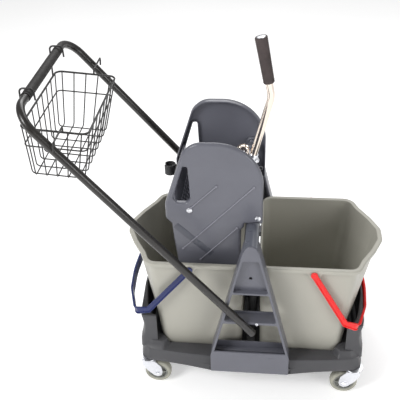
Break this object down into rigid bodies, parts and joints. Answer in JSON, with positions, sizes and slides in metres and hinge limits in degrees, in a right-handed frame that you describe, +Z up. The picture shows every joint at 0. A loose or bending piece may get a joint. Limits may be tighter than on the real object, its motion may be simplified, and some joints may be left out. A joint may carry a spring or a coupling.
{
  "type": "double-bucket mop trolley with press wringer",
  "caption": "Wheeled mop trolley with two lift-out buckets, a lever-operated press wringer, a push handle and a hanging wire basket.",
  "frame": {"origin": "centre of the bounding box's footprint, at floor level under the wheels", "axes": "+X along the trolley from the push handle towards the red-handled bucket, +Y across the trolley, +Z up"},
  "size_m": [0.826, 0.4524, 0.9052],
  "materials": {
    "chassis_grey": "moulded, satin dark grey",
    "wringer_grey": "moulded, satin blue-grey",
    "bucket_grey": "moulded, satin warm light grey",
    "bail_red": "moulded, glossy red",
    "bail_blue": "moulded, glossy dark blue",
    "black_steel": "black powder coat",
    "black_rubber": "knurled, matte near-black",
    "zinc": "bright zinc plate",
    "chrome": "polished",
    "tyre_grey": "matte grey-beige",
    "hub_grey": "moulded, matte mid grey",
    "clip_black": "moulded, satin black"
  },
  "bodies": {
    "trolley": {"chassis_tray": "chassis_grey", "push_handle_tube": "black_steel", "push_handle_sleeve": "black_rubber", "near_upright": "wringer_grey", "far_upright": "wringer_grey", "arched_crossbar": "wringer_grey", "near_handle_screw": "zinc", "far_handle_screw": "zinc", "near_left_caster_ring": "zinc", "near_right_caster_ring": "zinc", "far_left_caster_ring": "zinc", "far_right_caster_ring": "zinc"},
    "near_left_caster": {"near_left_caster_fork": "zinc", "near_left_axle_bolt": "zinc"},
    "near_left_wheel": {"near_left_wheel_hub": "hub_grey", "near_left_tyre": "tyre_grey"},
    "near_right_caster": {"near_right_caster_fork": "zinc", "near_right_axle_bolt": "zinc"},
    "near_right_wheel": {"near_right_wheel_hub": "hub_grey", "near_right_tyre": "tyre_grey"},
    "far_left_caster": {"far_left_caster_fork": "zinc", "far_left_axle_bolt": "zinc"},
    "far_left_wheel": {"far_left_wheel_hub": "hub_grey", "far_left_tyre": "tyre_grey"},
    "far_right_caster": {"far_right_caster_fork": "zinc", "far_right_axle_bolt": "zinc"},
    "far_right_wheel": {"far_right_wheel_hub": "hub_grey", "far_right_tyre": "tyre_grey"},
    "left_bucket": {"left_bucket": "bucket_grey"},
    "right_bucket": {"right_bucket": "bucket_grey"},
    "blue_bail": {"blue_bail": "bail_blue"},
    "red_bail": {"red_bail": "bail_red"},
    "wringer": {"near_wringer_cheek": "wringer_grey", "far_wringer_cheek": "wringer_grey", "near_front_rivet": "zinc", "far_front_rivet": "zinc", "near_rear_rivet": "zinc", "far_rear_rivet": "zinc", "press_bed": "wringer_grey", "mop_clip": "clip_black"},
    "press": {"wringer_shaft": "zinc", "press_plate": "wringer_grey", "lever_socket": "zinc", "return_spring": "chrome", "lever_tube": "chrome", "lever_grip": "black_rubber", "lever_end_cap": "zinc"},
    "basket": {"basket_rim": "black_steel", "basket_near_wires": "black_steel", "basket_far_wires": "black_steel", "basket_left_wires": "black_steel", "basket_right_wires": "black_steel", "basket_floor_wires": "black_steel"}
  },
  "joints": [
    {"name": "near_left_caster_swivel", "type": "hinge", "parent": "trolley", "child": "near_left_caster", "pos_m": [-0.1711, -0.158, 0.08], "axis": [0, 0, 1], "continuous": true},
    {"name": "near_left_wheel_spin", "type": "hinge", "parent": "near_left_caster", "child": "near_left_wheel", "pos_m": [-0.1471, -0.158, 0.03478], "axis": [0, 1, 0], "continuous": true},
    {"name": "near_right_caster_swivel", "type": "hinge", "parent": "trolley", "child": "near_right_caster", "pos_m": [0.3609, -0.158, 0.08], "axis": [0, 0, 1], "continuous": true},
    {"name": "near_right_wheel_spin", "type": "hinge", "parent": "near_right_caster", "child": "near_right_wheel", "pos_m": [0.3369, -0.158, 0.03478], "axis": [0, 1, 0], "continuous": true},
    {"name": "far_left_caster_swivel", "type": "hinge", "parent": "trolley", "child": "far_left_caster", "pos_m": [-0.1711, 0.158, 0.08], "axis": [0, 0, 1], "continuous": true},
    {"name": "far_left_wheel_spin", "type": "hinge", "parent": "far_left_caster", "child": "far_left_wheel", "pos_m": [-0.1471, 0.158, 0.03478], "axis": [0, 1, 0], "continuous": true},
    {"name": "far_right_caster_swivel", "type": "hinge", "parent": "trolley", "child": "far_right_caster", "pos_m": [0.3609, 0.158, 0.08], "axis": [0, 0, 1], "continuous": true},
    {"name": "far_right_wheel_spin", "type": "hinge", "parent": "far_right_caster", "child": "far_right_wheel", "pos_m": [0.3369, 0.158, 0.03478], "axis": [0, 1, 0], "continuous": true},
    {"name": "left_bucket_lift", "type": "slide", "parent": "trolley", "child": "left_bucket", "axis": [0, 0, 1], "range_m": [0, 0.25]},
    {"name": "blue_bail_swing", "type": "hinge", "parent": "left_bucket", "child": "blue_bail", "pos_m": [-0.0531, 0, 0.379], "axis": [0, 1, 0], "range_deg": [0, 106]},
    {"name": "right_bucket_lift", "type": "slide", "parent": "trolley", "child": "right_bucket", "axis": [0.0995, 0, 0.995], "range_m": [0, 0.28]},
    {"name": "red_bail_swing", "type": "hinge", "parent": "right_bucket", "child": "red_bail", "pos_m": [0.2429, 0, 0.379], "axis": [0, 1, 0], "range_deg": [-160, 0]},
    {"name": "wringer_lift", "type": "slide", "parent": "left_bucket", "child": "wringer", "axis": [0, 0, 1], "range_m": [0, 0.33]},
    {"name": "press_lever", "type": "hinge", "parent": "wringer", "child": "press", "pos_m": [0.0839, 0, 0.585], "axis": [0, 1, 0], "range_deg": [0, 34], "stiffness_Nm_per_rad": 1.2, "springref_deg": -40.11},
    {"name": "basket_lift", "type": "slide", "parent": "trolley", "child": "basket", "axis": [0, 0, 1], "range_m": [0, 0.03]}
  ]
}
